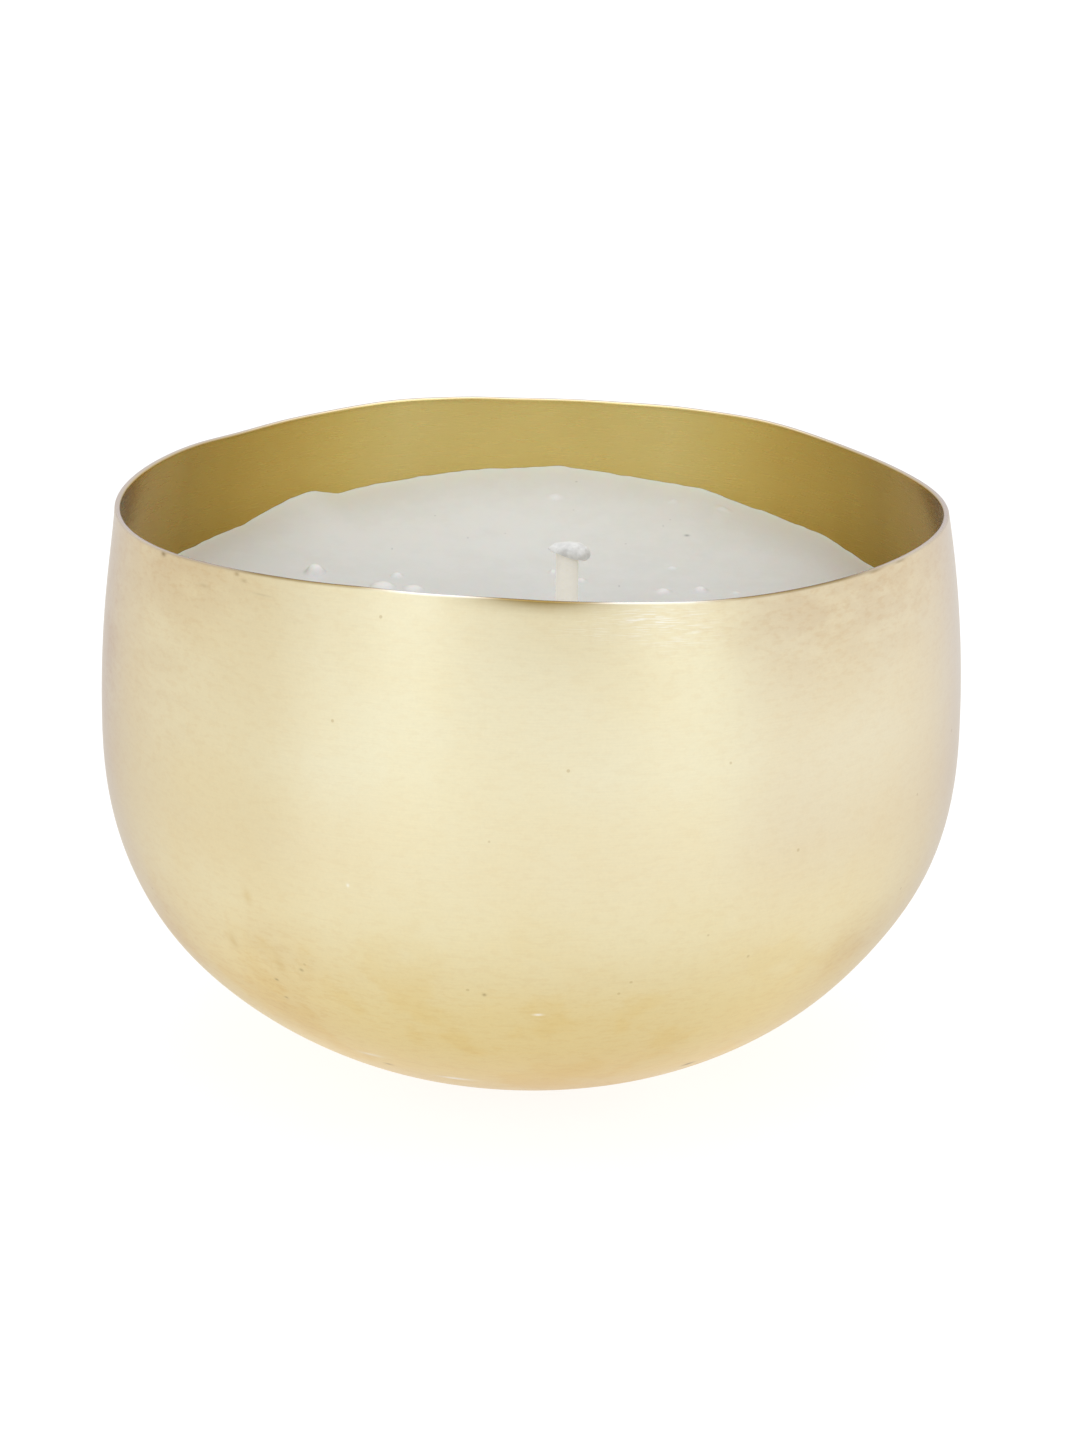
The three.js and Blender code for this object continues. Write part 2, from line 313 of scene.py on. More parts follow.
# Height of the rim over its mean: cosine and sine waves of one, two, three and four turns, and
# the swells.
def rimWave(azimuth):
    total = swellsAt(bowl["swells"], azimuth)
    for turn, (cosine, sine) in enumerate(bowl["waves"], 1):
        total += mm * (cosine * np.cos(turn * azimuth) + sine * np.sin(turn * azimuth))
    return total


def riseOf(height):  # 0 at the belly, 1 at the rim
    return np.clip((height - bowl["bellyHeight"]) / (bowl["height"] - bowl["bellyHeight"]), 0, 1)


# Radius of the true side: the even one, flared on the left of the rim, and low down slimmer and
# moved to the left by a bell curve of the height. The flare fades downwards as the eighth power of
# the rise, and the middle of the floor stays.
def strayed(radius, height, azimuth):
    low = np.exp(-((height - bowl["strayHeight"]) / bowl["straySpread"]) ** 2)
    moved = low * (bowl["strayRight"] * np.cos(azimuth) + bowl["strayOut"])
    flared = swellsAt(bowl["flare"], azimuth) * riseOf(height) ** 8
    return radius + (moved + flared) * np.minimum(1, radius / bowl["baseRadius"])


# Lower side, a superellipse: outward from the base edge to the belly and down from the belly to the
# base are powers of the sine and cosine of one angle. It is moved in by a depth along its normal.
def lowerSide(u, depth):
    across = bowl["bellyRadius"] - bowl["baseRadius"]
    outward = np.sin(u) ** (2 / bowl["bellyPower"])
    upward = np.maximum(np.cos(u), 0) ** (2 / bowl["basePower"])
    along = bowl["bellyPower"] * outward ** (bowl["bellyPower"] - 1) / across
    down = bowl["basePower"] * upward ** (bowl["basePower"] - 1) / bowl["bellyHeight"]
    length = np.hypot(along, down)
    radius = bowl["baseRadius"] + across * outward - depth * along / length
    return radius, bowl["bellyHeight"] * (1 - upward) + depth * down / length


# Upper side, a parabola: it leans in with the square of the rise from belly to rim.
def upperRadius(height, depth):
    lean = bowl["bellyRadius"] - bowl["rimRadius"]
    slope = 2 * lean * riseOf(height) / (bowl["height"] - bowl["bellyHeight"])
    return bowl["bellyRadius"] - lean * riseOf(height) ** 2 - depth * np.hypot(1, slope)


def sideProfile(depth, top, lowerRows, upperRows):
    lower = lowerSide(np.linspace(0, np.pi / 2, lowerRows + 1), depth)
    heights = np.linspace(bowl["bellyHeight"], top, upperRows + 1)[1:]
    return (np.append(lower[0], upperRadius(heights, depth)), np.append(lower[1], heights))


bowlMarks = ("stain", "smear", "scuff", "edge", "glint")


# Marks on the outside: bell curves in azimuth and height, added up for one kind of mark.
def marksOf(kind, azimuth, height):
    total = 0 * (azimuth + height)
    for name, middle, level, wide, tall, strength in bowl["marks"]:
        if name == kind:
            across = gauss(angleFrom(azimuth, middle), wide)
            total += strength * across * gauss(height - level * mm, tall * mm)
    return np.clip(total, 0, 1)


# Bowl: one profile turned about Z, from the base up the outside, over two quarter circles at the
# rim, and down the inside, a wall's thickness in. The rim's waves fade downwards as the square of
# the rise.
def makeBowl():
    top = bowl["height"] - bowl["lip"]
    outer = sideProfile(0, top, bowl["lowerRows"], bowl["upperRows"])
    inner = sideProfile(bowl["wall"], top, bowl["lowerRows"], bowl["upperRows"])
    quarter = np.linspace(0, np.pi / 2, bowl["lipRows"] + 1)
    outerLip = outer[0][-1] - bowl["lip"] * (1 - np.cos(quarter[1:]))
    innerLip = inner[0][-1] + bowl["lip"] * (1 - np.sin(quarter[:-1]))
    base = np.linspace(0, 1, bowl["baseRows"])[1:-1]
    floor = inner[0][0] * base[::-1]
    radius = np.concatenate([bowl["baseRadius"] * base, outer[0], outerLip, innerLip,
                             inner[0][::-1], floor])
    height = np.concatenate([0 * base, outer[1], top + bowl["lip"] * np.sin(quarter[1:]),
                             top + bowl["lip"] * np.cos(quarter[:-1]), inner[1][::-1],
                             floor * 0 + bowl["wall"]])
    along = np.append(0, np.cumsum(np.hypot(np.diff(radius), np.diff(height))))
    inside = np.zeros_like(radius)
    inside[len(base) + len(outer[0]) + len(outerLip):] = 1
    lip = np.zeros_like(radius)
    start = len(base) + len(outer[0])
    lip[start:start + len(outerLip) + len(innerLip)] = np.append(np.sin(quarter[1:]) ** 2,
                                                                np.cos(quarter[:-1]) ** 2)
    azimuth = spokeAngles(bowl["spokes"])[None]
    lifted = height[:, None] + rimWave(azimuth) * riseOf(height[:, None]) ** 2
    grid = np.ones_like(lifted)
    attributes = {"along": along[:, None] * grid, "inside": inside[:, None] * grid,
                  "lip": lip[:, None] * grid}
    for kind in bowlMarks:
        attributes[kind] = marksOf(kind, azimuth, height[:, None])
    radius = strayed(radius[:, None], height[:, None], azimuth)
    return gridMesh("bowl_shell", turnedPoints(radius, lifted, azimuth), attributes=attributes)


def axes(place):
    return [place.node("ShaderNodeSeparateXYZ", None, {0: place}, axis) for axis in range(3)]


# The cosine of the angle between a place's azimuth and a middle one.
def facing(x, y, middle):
    turned = x * math.cos(math.radians(middle)) + y * math.sin(math.radians(middle))
    return turned / (x * x + y * y).maths("SQRT")


# Colour of the outside: tones by height with painted reflection, upper flanks darkened as painted
# shade and lower flanks lightened as painted light, cloudy tints, staining, a darker olive band
# under the front rim, painted glints of scratch streaks, marks.
def outsideColour(place, across, brushed, stain, smear, scuff):
    x, y, z = axes(place)
    low = 1 - z.between(14 * mm, 44 * mm)
    high = z.between(22 * mm, 48 * mm)
    flankLight = 1 - facing(x, y, -90).between(0.70, 1.0)
    left = facing(x, y, -152).between(0.80, 0.92) * high
    right = facing(x, y, -35).between(0.84, 0.96) * high
    fleck = brushed.noise(600, 4, 0.6).between(0.46, 0.66)
    patchy = stain * (brushed.noise(110, 4, 0.6).between(0.3, 0.62) * 0.6 + 0.4)
    golden = place.noise(95, 3, 0.6).between(0.50, 0.64) * low
    full = bowl["tones"][-1][0]
    colour = (z / (full * mm)).ramp([(level / full, tone) for level, tone in bowl["tones"]])
    for share, tint in (
        # painted shade and light: the left and right tints darken the upper flanks, the low flank
        # tint lightens the lower flanks
        (left * 0.9, (0.90, 0.865, 0.81)),
        (right, (0.955, 0.935, 0.97)),
        (low * flankLight, (1.13, 1.15, 1.17)),
        (place.noise(70, 4, 0.6).between(0.35, 0.65), (1.0, 0.985, 0.955)),
        (place.noise(24, 2, 0.5).between(0.35, 0.65), (0.985, 0.98, 0.99)),
        (golden, (0.985, 0.95, 0.86)),
        (patchy, (0.87, 0.80, 0.76)),
        (fleck * (stain * 0.7 + low * 0.25 + 0.25), (0.95, 0.90, 0.84)),
        # a darker olive band under the front rim
        (smear, (0.36, 0.28, 0.13)),
    ):
        colour = colour.tint(share, tint)
    # painted highlight: pale glints of scratch streaks near the rim
    paintedGlints = across.noise(420, 1, 0.4).between(0.54, 0.64) * scuff
    colour = colour.paint(paintedGlints * 0.7, (1.0, 0.98, 0.92))
    speck = place.spots(170, 0.05, 0.5, (0.3, 0.2, 0.1))
    colour = colour.paint(speck * 0.5, (0.55, 0.42, 0.20))
    for kind, tone in (("nicks", (0.30, 0.20, 0.08)), ("dabs", (0.66, 0.48, 0.20)),
                       ("scratches", (1.0, 0.97, 0.90))):
        for middle, size, strength in bowl[kind]:
            mark = place.blob([value * mm for value in middle], [value * mm for value in size])
            colour = colour.paint(mark * strength, tone)
    return colour


# Colour of the inside with painted reflection and shade, where brass reflects brass: deeper and
# darker at the two sides.
def insideColour(place):
    x, y, _ = axes(place)
    colour = (y * y / (x * x + y * y)).maths("SQRT").ramp(bowl["insideToneAndReflection"])
    return colour.tint(place.noise(70, 4, 0.6).between(0.35, 0.65), (0.97, 0.96, 0.93))


# Brushed brass. The grain runs round the bowl: noise fine along the profile and longer across it.
def brassFinish():
    material, place = newFinish("brushed_brass", Metallic=1.0, Anisotropic=0.75,
                                Anisotropic_Rotation=0.25, Specular_Tint=(0.70, 0.68, 0.76, 1),
                                Sheen_Weight=0.10, Sheen_Roughness=0.3)
    along, inside, lip, stain, smear, scuff, edge, glint = (
        attribute(place, name) for name in ("along", "inside", "lip", *bowlMarks))
    x, y, _ = axes(place)
    across, brushed = (place.node("ShaderNodeCombineXYZ", None, {0: x, 1: y, 2: along * stretch})
                       for stretch in (26, 2.4))
    grain = across.noise(260, 3, 0.6)
    satin = place.noise(2600, 2, 0.5)
    outside = outsideColour(place, across, brushed, stain, smear, scuff)
    # the lip's colour: pale, darkened brown by the edge marks as painted reflection and whitened by
    # the glint marks as painted highlights
    rim = edge.mix((0.90, 0.79, 0.63), (0.36, 0.235, 0.06)).paint(glint, (1.0, 0.98, 0.93))
    colour = outside.paint(inside, insideColour(place)).paint(lip, rim)
    shade = (grain * 0.08 + satin * 0.06 - 0.07) * (1 - inside * 0.6) + 1
    rough = grain * 0.12 + 0.30 - lip * 0.08 - inside * 0.1
    feed(material, Base_Color=colour.times(shade), Roughness=rough,
         Normal=bump(grain, 0.06, 0.0002))
    return material


dress(makeBowl(), brassFinish(), "bowl")
print("bowl made")


wickLow, wickHigh = nodeBox("wick_braid")
tabLow, tabHigh = nodeBox("wick_tab")
stickerLow, stickerHigh = nodeBox("wick_sticker")
wickPlace = (wickLow + wickHigh)[:2] / 2
braidRadius = (wickHigh[0] - wickLow[0]) / 2

wax = {
    "backDepth": 9.75 * mm,     # below the rim where the wax climbs the back wall
    "frontDrop": 9.0 * mm,
    "settling": 2.3,
    "sideTilt": 0.8 * mm,
    "dish": 1.0 * mm,
    "gap": 0.02 * mm,           # to the bowl
    "film": 0.08 * mm,          # how far the edge creeps up the wall
    "filmWidth": 0.25 * mm,
    "wallLightWidth": 2.5 * mm,     # of the band near the wall painted paler: painted light against the wall's shade
    "meniscus": 0.65 * mm,      # its height and its reach round the wick
    "swells": [                 # of the edge: azimuth, spread, rise in mm
        (146, 5.0, -0.3), (137, 3.2, -0.35), (126, 5.0, 1.15), (119.5, 2.5, -0.6),
        (109, 5.0, -0.25), (86, 2.5, 0.35), (79, 7.0, 0.2), (64.5, 4.0, 0.65), (53, 3.0, 0.2),
        (43, 3.0, 0.3), (36, 4.0, -0.5), (125, 1.2, 0.15), (120.5, 1.0, -0.12), (87, 0.9, 0.12),
        (31, 0.9, 0.15), (25, 6.0, -1.1),
    ],
    "ripples": [                # waves round the edge, amplitude in mm, phase
        (41, 0.03, 0.3), (67, 0.03, 1.9), (103, 0.03, 4.0), (151, 0.02, 2.2),
    ],
    "blisters": [               # x, y, radius and height in mm
        (-30.0, 22.6, 1.35, 1.1), (-18.7, 22.3, 0.8, 0.5), (-20.5, 17.9, 1.7, 0.6),
        (-16.3, 17.5, 1.4, 0.4), (18.0, 18.8, 1.0, 0.45), (23.1, 19.7, 0.9, 0.5),
        (19.3, 27.8, 0.6, 0.2), (19.9, 47.8, 0.55, 0.25), (3.1, 48.6, 0.9, 0.2),
        (26.9, 46.1, 0.6, 0.3), (2.8, 25.2, 0.6, 0.5), (6.7, 22.4, 0.7, 0.4),
        (28.0, 18.8, 0.5, 0.2),
    ],
    "dirt": [                   # x, y, size across and deep, in mm, and a strength
        (21.6, 38.6, 0.35, 0.3, 0.7), (18.3, 41.3, 0.12, 0.25, 0.3), (-9.2, 36.5, 0.12, 0.25, 0.35),
        (11.9, 20.8, 0.12, 0.3, 0.5), (-19.7, 32.0, 0.12, 0.3, 0.4),
    ],
    "spokes": 480,
    "lowerRows": 14,
    "upperRows": 8,
    "topRows": 176,
}


# Height of the wax at a fraction of the way out: it climbs the back wall as an exponential, leans
# a little to the right and is dished in the middle. The edge's swells fade inwards as the eighth
# power of the fraction, and its ripples as the fortieth.
def waxHeight(fraction, azimuth):
    depth = (wax["backDepth"]
             + wax["frontDrop"] * (1 - np.exp(-wax["settling"] * (1 - fraction * np.sin(azimuth))))
             + wax["sideTilt"] * fraction * np.cos(azimuth)
             + wax["dish"] * (1 - fraction ** 2))
    depth = depth - swellsAt(wax["swells"], azimuth) * fraction ** 8
    for turn, high, phase in wax["ripples"]:
        depth = depth - high * mm * np.sin(turn * azimuth + phase) * fraction ** 40
    return bowl["height"] - depth


# Wax: the bowl's side, a gap in, up to the edge, and rows over the surface that lie closer near the
# wall. On the surface come a film creeping up the wall and a meniscus round the wick, both fading
# exponentially, and blisters, each a flattened dome.
def makeWax():
    depth = bowl["wall"] + wax["gap"]
    azimuth = spokeAngles(wax["spokes"])[None]
    edge = waxHeight(1, azimuth)
    lower = lowerSide(np.linspace(0, np.pi / 2, wax["lowerRows"] + 1), depth)
    share = (np.arange(wax["upperRows"]) + 1)[:, None] / wax["upperRows"]
    upper = bowl["bellyHeight"] + share * (edge - bowl["bellyHeight"])
    reach = upperRadius(edge, depth)
    fraction = 1 - np.linspace(0, 1, wax["topRows"] + 2)[1:-1, None] ** 1.5
    radius = np.vstack([lower[0][:, None] + 0 * azimuth, upperRadius(upper, depth),
                        fraction * reach])
    height = np.vstack([lower[1][:, None] + 0 * azimuth, upper, waxHeight(fraction, azimuth)])
    points = turnedPoints(strayed(radius, height, azimuth), height, azimuth)
    surface = np.zeros_like(radius)
    surface[-wax["topRows"]:] = 1
    out = np.hypot(points[..., 0], points[..., 1])
    film = np.exp(-(reach - out) / wax["filmWidth"]) * surface
    shore = np.exp(-(reach - out) / wax["wallLightWidth"]) * surface
    points[..., 2] += wax["film"] * film
    blister = np.zeros_like(radius)
    for x, y, size, rise in wax["blisters"]:
        away = np.hypot(points[..., 0] - x * mm, points[..., 1] - y * mm) / (size * mm)
        dome = np.clip(1 - away ** 2, 0, 1) ** 0.7 * surface
        points[..., 2] += rise * mm * dome
        blister = np.maximum(blister, dome)
    fromWick = np.hypot(points[..., 0] - wickPlace[0], points[..., 1] - wickPlace[1])
    points[..., 2] += wax["meniscus"] * surface * np.exp(
        -np.maximum(fromWick - braidRadius, 0) / wax["meniscus"])
    return gridMesh("wax_pour", points, attributes={"blister": blister, "film": film,
                                                   "shore": shore})


def waxFinish():
    material, place = newFinish("poured_wax", Roughness=0.42, Subsurface_Weight=0.25,
                                Subsurface_Scale=0.002, IOR=1.44)
    y = axes(place)[1]
    blister, film, shore = (attribute(place, name) for name in ("blister", "film", "shore"))
    mottle = place.noise(260, 4, 0.65)
    broad = place.noise(60, 3, 0.55)
    # darker towards the front and lighter towards the back: painted shade and light
    colour = y.between(0, 50 * mm).mix((0.63, 0.63, 0.62), (0.74, 0.735, 0.70))
    colour = colour.tint((mottle * 0.5 + broad * 0.5).between(0.4, 0.6), (0.965, 0.965, 0.955))
    # painted light along the wall: the band near it and the creeping film are painted paler against
    # the shade the wall casts
    colour = colour.paint(shore * 0.8, (0.96, 0.94, 0.86))
    colour = colour.paint(film * 0.8, (1.0, 0.98, 0.90))
    colour = colour.paint(blister * 0.85, (0.82, 0.82, 0.81))
    # painted shade: tiny pits in the wax darkened
    pitShade = place.spots(420, 0.10, 0.16, (3.1, 0.2, 1.7))
    colour = colour.paint(pitShade * 0.35, (0.36, 0.35, 0.34))
    for x, deep, width, depth, strength in wax["dirt"]:
        speck = place.blob((x * mm, deep * mm, 60 * mm), (width * mm, depth * mm, 1))
        colour = colour.paint(speck * strength, (0.20, 0.21, 0.23))
    feed(material, Base_Color=colour, Roughness=mottle * 0.2 + 0.32,
         Normal=bump(mottle, 0.25, 0.0003))
    return material


dress(makeWax(), waxFinish(), "wax_fill")
print("wax made")


wick = {
    "strands": 8,
    "pitch": 5.2 * mm,          # height of one turn of a strand
    "relief": 0.09 * mm,
    "bore": 0.6 * mm,
    "spokes": 96,
    "rows": 420,
    "coreRadius": 0.5 * mm,
    "corePitch": 3 * mm,
    "coreDent": 0.12,           # share of the radius lost where the plies meet
    "coreSpokes": 32,
    "coreRows": 200,
}


# Braid: a tube whose outside rises over the higher of two sets of strands winding opposite ways,
# each the size of a cosine of the azimuth turned with the height.
def makeBraid():
    azimuth = spokeAngles(wick["spokes"])[None]
    height = np.linspace(wickLow[2], wickHigh[2], wick["rows"])[:, None]
    turn = 2 * np.pi * height / wick["pitch"]
    half = wick["strands"] / 2
    right = np.abs(np.cos(half * (azimuth + turn)))
    left = np.abs(np.cos(half * (azimuth - turn)))
    weave = np.maximum(right, left) ** 0.8
    outside = turnedPoints(braidRadius - wick["relief"] * (1 - weave), height, azimuth, wickPlace)
    inside = turnedPoints(wick["bore"], height[::-1], azimuth, wickPlace)
    attributes = {"weave": np.vstack([weave, weave * 0])}
    return gridMesh("braided_wick", np.vstack([outside, inside]), True, attributes)


# Core: two plies round each other, a cylinder cut in by an eighth where they meet, the meeting
# turning with the height.
def makeCore():
    azimuth = spokeAngles(wick["coreSpokes"])[None]
    low, high = nodeBox("wick_core")
    height = np.linspace(low[2], high[2], wick["coreRows"])[:, None]
    ply = np.abs(np.cos(azimuth + 2 * np.pi * height / wick["corePitch"]))
    radius = wick["coreRadius"] * (1 - wick["coreDent"] * (1 - ply))
    return gridMesh("core_thread", turnedPoints(radius, height, azimuth, wickPlace))


# Bead: a cap of wax over the wick's tip. Its profile runs from the socket out under the overhanging
# lip and up to the crown. Its reach is an ellipse drawn to a point on the left, with lumps that are
# waves in azimuth and reach, and each row falls to the right by its own slope.
bead = {
    "halfWidth": 2.5 * mm,
    "halfDepth": 2.2 * mm,
    "offset": 0.4 * mm,         # of its middle, to the right of the wick
    "pointed": 0.2,
    "lump": 0.03,
    "socket": 0.02 * mm,        # room round the wick
    "spokes": 112,
    "rows": 90,
    "smoothings": 6,
    "hole": [                   # share of the bore, height in mm, slope
        (0.05, 68.3, 0), (0.5, 68.3, 0), (1.0, 68.3, 0), (1.0, 68.0, 0.1), (1.0, 67.75, 0.3),
    ],
    "profile": [                # share of the reach, height in mm, slope; the last is the crown
        (0.70, 67.75, 0.30), (0.84, 67.85, 0.30), (0.97, 68.0, 0.22), (1.02, 68.2, 0.15),
        (1.0, 68.5, 0.10), (0.88, 68.95, 0.06), (0.66, 69.22, 0.03), (0.36, 69.36, 0),
        (0.06, 69.40, 0),
    ],
}


def beadRows(rows, count):  # the rows of a profile made dense and smooth
    table = np.array(rows)
    at = np.linspace(0, len(table) - 1, count)
    dense = np.stack([np.interp(at, np.arange(len(table)), column) for column in table.T], 1)
    for _ in range(bead["smoothings"]):
        dense[1:-1] = (dense[:-2] + 2 * dense[1:-1] + dense[2:]) / 4
    return (column[:, None] for column in dense.T)


def makeBead():
    azimuth = spokeAngles(bead["spokes"])[None]
    reach = 1 / np.hypot(np.cos(azimuth) / bead["halfWidth"], np.sin(azimuth) / bead["halfDepth"])
    reach = reach * (1 + bead["pointed"] * np.maximum(0, -np.cos(azimuth)) ** 6)
    share, level, slope = beadRows(bead["profile"], bead["rows"])
    lumps = (np.sin(3 * azimuth + 9 * share) + np.cos(5 * azimuth - 7 * share + 1)
             + 0.8 * np.sin(8 * azimuth + 14 * share))
    outside = reach * share * (1 + bead["lump"] * lumps)
    hollow, ceiling, tilt = (column[:, None] for column in np.array(bead["hole"]).T)
    inside = hollow * (braidRadius + bead["socket"]) + 0 * azimuth
    radius = np.vstack([inside, outside])
    x = radius * np.cos(azimuth) + bead["offset"] * np.vstack([inside * 0, outside * 0 + 1])
    height = np.vstack([ceiling, level]) * mm - np.vstack([tilt, slope]) * x
    points = np.stack([wickPlace[0] + x, wickPlace[1] + radius * np.sin(azimuth), height], -1)
    return gridMesh("wax_bead", points)


def threadFinish(name, colour, shade):
    # the faint glow stands in for light that the waxed cotton lets through
    material, place = newFinish(name, Roughness=0.8, Sheen_Weight=0.2, Emission_Strength=0.06,
                                Emission_Color=(1.0, 0.97, 0.9, 1))
    fibre = place.times((1, 1, 0.25)).noise(2600, 3, 0.6)
    weave = attribute(place, "weave")
    # painted shade: darker in the valleys of the weave, mixed with the fibres' own tone
    tone = (fibre * 0.5 + weave * 0.5).between(0.1, 0.8).mix(shade, colour)
    feed(material, Base_Color=tone, Roughness=fibre * 0.3 + 0.5, Normal=bump(fibre, 0.3, 0.0001))
    return material


def beadFinish():
    # painted light: the faint glow stands in for light scattered through the clear wax
    material, place = newFinish("clear_wax_bead", Roughness=0.2, Subsurface_Weight=0.4,
                                Subsurface_Scale=0.0012, IOR=1.44, Coat_Weight=0.2,
                                Emission_Strength=0.14, Emission_Color=(1.0, 0.99, 0.97, 1),
                                Subsurface_Radius=(0.5, 0.5, 0.5))
    cloud = place.noise(900, 3, 0.6)
    colour = cloud.between(0.35, 0.65).mix((0.52, 0.515, 0.50), (0.65, 0.645, 0.625))
    feed(material, Base_Color=colour, Roughness=cloud * 0.3 + 0.25,
         Normal=bump(cloud, 0.35, 0.0003))
    return material


dress(makeBraid(), threadFinish("wick_cotton", (1.0, 0.97, 0.89), (0.98, 0.93, 0.84)),
      "wick_braid")
dress(makeCore(), threadFinish("core_cotton", (0.85, 0.82, 0.74), (0.66, 0.60, 0.48)),
      "wick_core")
dress(makeBead(), beadFinish(), "wick_bead")
print("wick made")


foot = {
    "thickness": 0.3 * mm,
    "collarBore": braidRadius + 0.1 * mm,
    "fillet": 0.6 * mm,
    "bead": 0.25 * mm,          # height of the stamped ring
    "ringPlace": 0.62,          # share of the disc's radius
    "ringWidth": 0.7 * mm,
    "bulge": 0.08 * mm,         # of the disc's cut edge
    "crimp": 0.06 * mm,         # depth of the four dents in the collar
    "crimpPlace": 0.7,          # share of the collar's height
    "crimpSpread": 0.18,
    "spokes": 128,
    "discRows": 40,
    "edgeRows": 5,
    "filletRows": 8,
    "collarRows": 30,
    "stickerEdge": 0.2 * mm,    # rounding of the foam disc
    "stickerSpokes": 96,
    "stickerRows": 20,
    "stickerEdgeRows": 14,
}


# Tab: a disc drawn up into a collar. The disc carries a stamped ring, a bell curve in radius, and
# the collar four dents, a power of the cosine of twice the azimuth.
def makeTab():
    azimuth = spokeAngles(foot["spokes"])[None]
    radius = (tabHigh[0] - tabLow[0]) / 2
    bottom, top = tabLow[2], tabHigh[2]
    thick, bore, fillet = foot["thickness"], foot["collarBore"], foot["fillet"]
    collar = bore + thick
    quarter = np.linspace(0, np.pi / 2, foot["filletRows"])
    under = np.linspace(bore, radius, foot["discRows"])
    over = np.linspace(radius, collar + fillet, foot["discRows"])
    upEdge = np.linspace(0, 1, foot["edgeRows"])[1:-1]
    edge = radius + foot["bulge"] * np.sin(np.pi * upEdge)
    edgeHeight = bottom + thick * upEdge
    curl = collar + fillet * (1 - np.sin(quarter[1:]))
    curlHeight = bottom + thick + fillet * (1 - np.cos(quarter[1:]))
    rise = np.linspace(curlHeight[-1], top, foot["collarRows"])[1:]
    r = np.concatenate([under, edge, over, curl, rise * 0 + collar, rise[::-1] * 0 + bore])
    z = np.concatenate([under * 0 + bottom, edgeHeight, over * 0 + bottom + thick, curlHeight,
                        rise, rise[::-1]])
    ring = foot["bead"] * np.exp(-((r - foot["ringPlace"] * radius) / foot["ringWidth"]) ** 2)
    flat = z <= bottom + thick * 1.01
    z = z + ring * flat
    dent = foot["crimp"] * np.cos(2 * azimuth) ** 8
    level = (z - bottom) / (top - bottom)
    onCollar = np.exp(-((level - foot["crimpPlace"]) / foot["crimpSpread"]) ** 2)[:, None]
    points = turnedPoints(r[:, None] - dent * onCollar * ~flat[:, None], z[:, None] + 0 * azimuth,
                          azimuth, wickPlace)
    return gridMesh("stamped_tab", points, True)


# Sticker: a flat disc whose edge bulges by the cosine of an angle that climbs it.
def makeSticker():
    azimuth = spokeAngles(foot["stickerSpokes"])[None]
    radius = (stickerHigh[0] - stickerLow[0]) / 2
    u = np.linspace(-np.pi / 2, np.pi / 2, foot["stickerEdgeRows"])
    thick = stickerHigh[2] - stickerLow[2]
    disc = np.linspace(0, 1, foot["stickerRows"])[1:-1] * (radius - foot["stickerEdge"])
    r = np.concatenate([disc, radius - foot["stickerEdge"] * (1 - np.cos(u)), disc[::-1]])
    z = np.concatenate([disc * 0 + stickerLow[2], stickerLow[2] + thick * (1 + np.sin(u)) / 2,
                        disc * 0 + stickerHigh[2]])
    return gridMesh("foam_sticker", turnedPoints(r[:, None], z[:, None], azimuth, wickPlace))


def tinFinish():
    material, place = newFinish("bright_tinplate", Metallic=1.0, Roughness=0.3)
    cloud = place.noise(400, 4, 0.6)
    colour = cloud.mix((0.62, 0.63, 0.63), (0.78, 0.78, 0.77))
    feed(material, Base_Color=colour, Roughness=cloud * 0.3 + 0.15,
         Normal=bump(place.noise(3000, 2, 0.5), 0.1, 0.00005))
    return material


def foamFinish():
    material, place = newFinish("white_foam", Roughness=0.85)
    cell = place.noise(4200, 3, 0.6)
    colour = cell.mix((0.78, 0.77, 0.74), (0.92, 0.92, 0.90))
    feed(material, Base_Color=colour, Roughness=cell * 0.2 + 0.7, Normal=bump(cell, 0.4, 0.0001))
    return material


dress(makeTab(), tinFinish(), "wick_tab")
dress(makeSticker(), foamFinish(), "wick_sticker")
print("foot made")


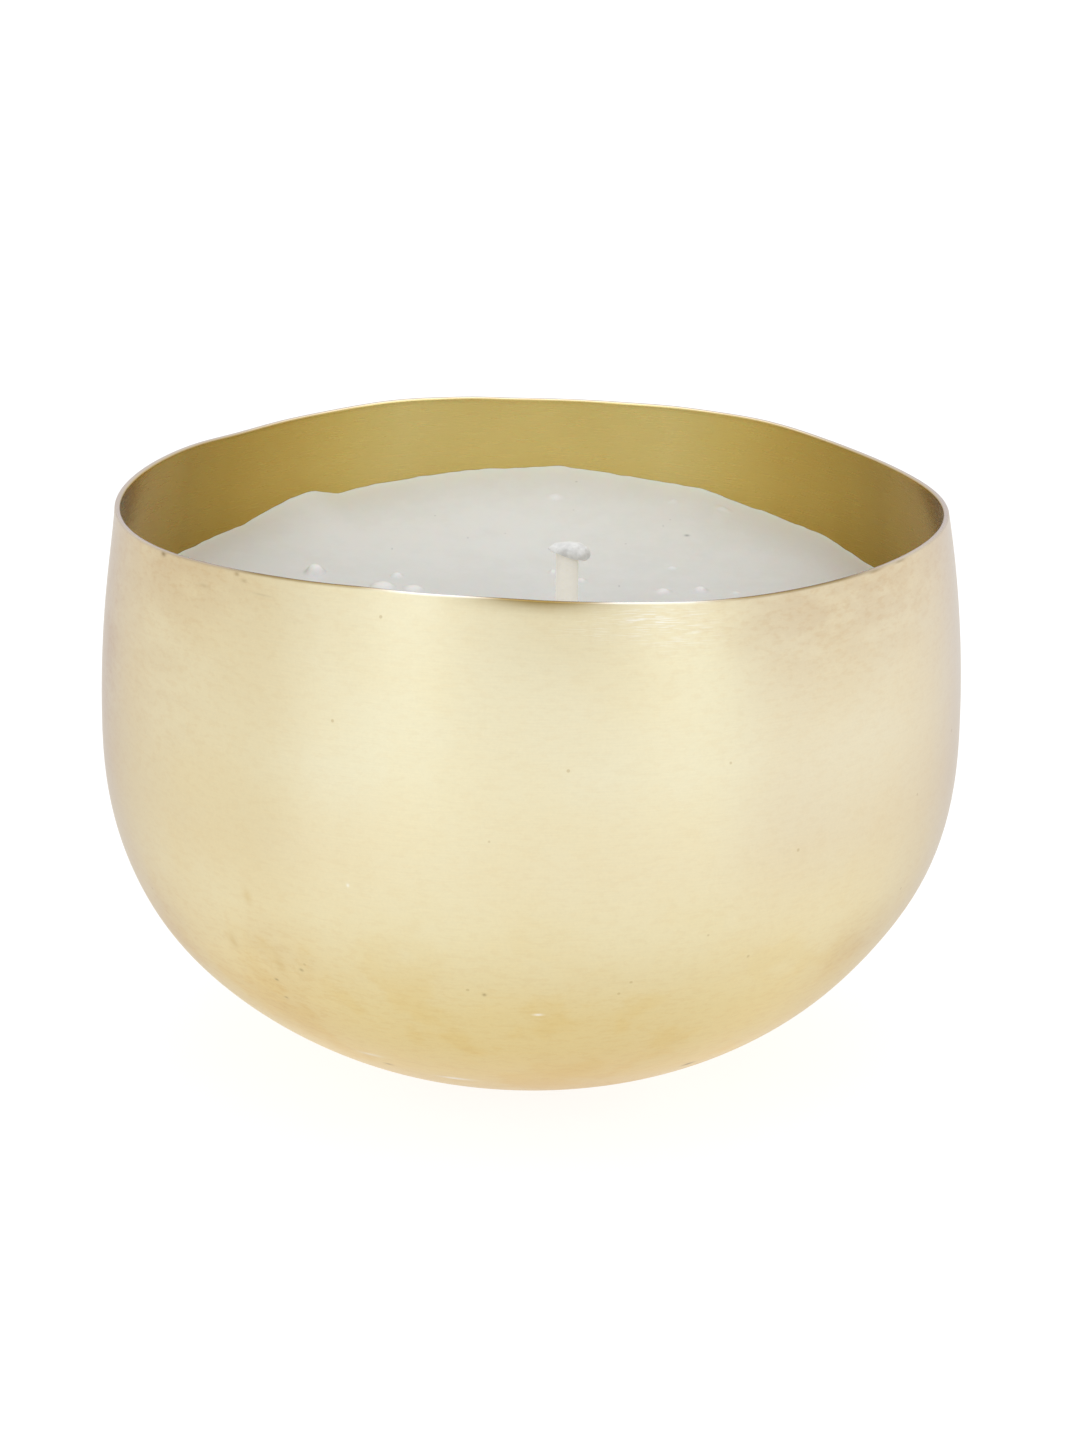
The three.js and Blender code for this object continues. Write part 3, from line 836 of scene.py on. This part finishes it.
studio = {
    "cameraDistance": 0.700,
    "elevation": 16.64,         # degrees over the horizon
    "aim": (0.00122, 0, 0.04473),
    "roll": 0.66,
    "lens": 130.1,
    "floorSize": 6.0,
    "glow": 0.82,               # of the floor and the world
    "lights": [                 # name, place, size, power, colour
        ("left_box", (-0.64, -1.0, 0.75), (0.5, 0.9), 1.1, (0.75, 0.92, 1.15)),
        ("right_box", (0.8, -0.9, 0.75), (0.5, 0.9), 1.1, (0.75, 0.92, 1.15)),
        ("top_box", (0, 0.1, 1.2), (1.2, 1.2), 3.6, (1, 1, 1)),
    ],
}


def makeCamera():
    data = bpy.data.cameras.new("camera")
    data.lens = studio["lens"]
    data.sensor_width = 36
    data.clip_start = 0.01
    camera = bpy.data.objects.new("camera", data)
    bpy.context.collection.objects.link(camera)
    tilt = math.radians(studio["elevation"])
    aim = Vector(studio["aim"])
    place = aim + studio["cameraDistance"] * Vector((0, -math.cos(tilt), math.sin(tilt)))
    turn = (aim - place).to_track_quat("-Z", "Y").to_matrix()
    turn = turn @ Matrix.Rotation(math.radians(studio["roll"]), 3, "Z")
    camera.matrix_world = Matrix.Translation(place) @ turn.to_4x4()
    bpy.context.scene.camera = camera


def makeFloor():
    half = studio["floorSize"] / 2
    mesh = bpy.data.meshes.new("floor")
    mesh.from_pydata([(-half, -half, 0), (half, -half, 0), (half, half, 0), (-half, half, 0)],
                     [], [(0, 1, 2, 3)])
    floor = bpy.data.objects.new("floor", mesh)
    bpy.context.collection.objects.link(floor)
    material, place = newFinish("pale_floor", Roughness=0.9, Emission_Color=(1, 1, 1, 1),
                                Emission_Strength=studio["glow"])
    paper = place.noise(300, 3, 0.5)
    feed(material, Base_Color=paper.mix((0.24, 0.24, 0.24), (0.26, 0.26, 0.26)))
    mesh.materials.append(material)


def softBox(name, place, size, power, colour):
    data = bpy.data.lights.new(name, "AREA")
    data.shape = "RECTANGLE"
    data.size, data.size_y = size
    data.energy = power
    data.color = colour
    lamp = bpy.data.objects.new(name, data)
    bpy.context.collection.objects.link(lamp)
    turn = (Vector(studio["aim"]) - Vector(place)).to_track_quat("-Z", "Y")
    lamp.matrix_world = Matrix.Translation(place) @ turn.to_matrix().to_4x4()


makeCamera()
makeFloor()
for light in studio["lights"]:
    softBox(*light)

world = bpy.data.worlds.new("studio")
world.use_nodes = True
background = world.node_tree.nodes["Background"]
background.inputs["Color"].default_value = (1, 1, 1, 1)
background.inputs["Strength"].default_value = studio["glow"]
bpy.context.scene.world = world
bpy.context.scene.view_settings.view_transform = "Standard"
print("studio made")
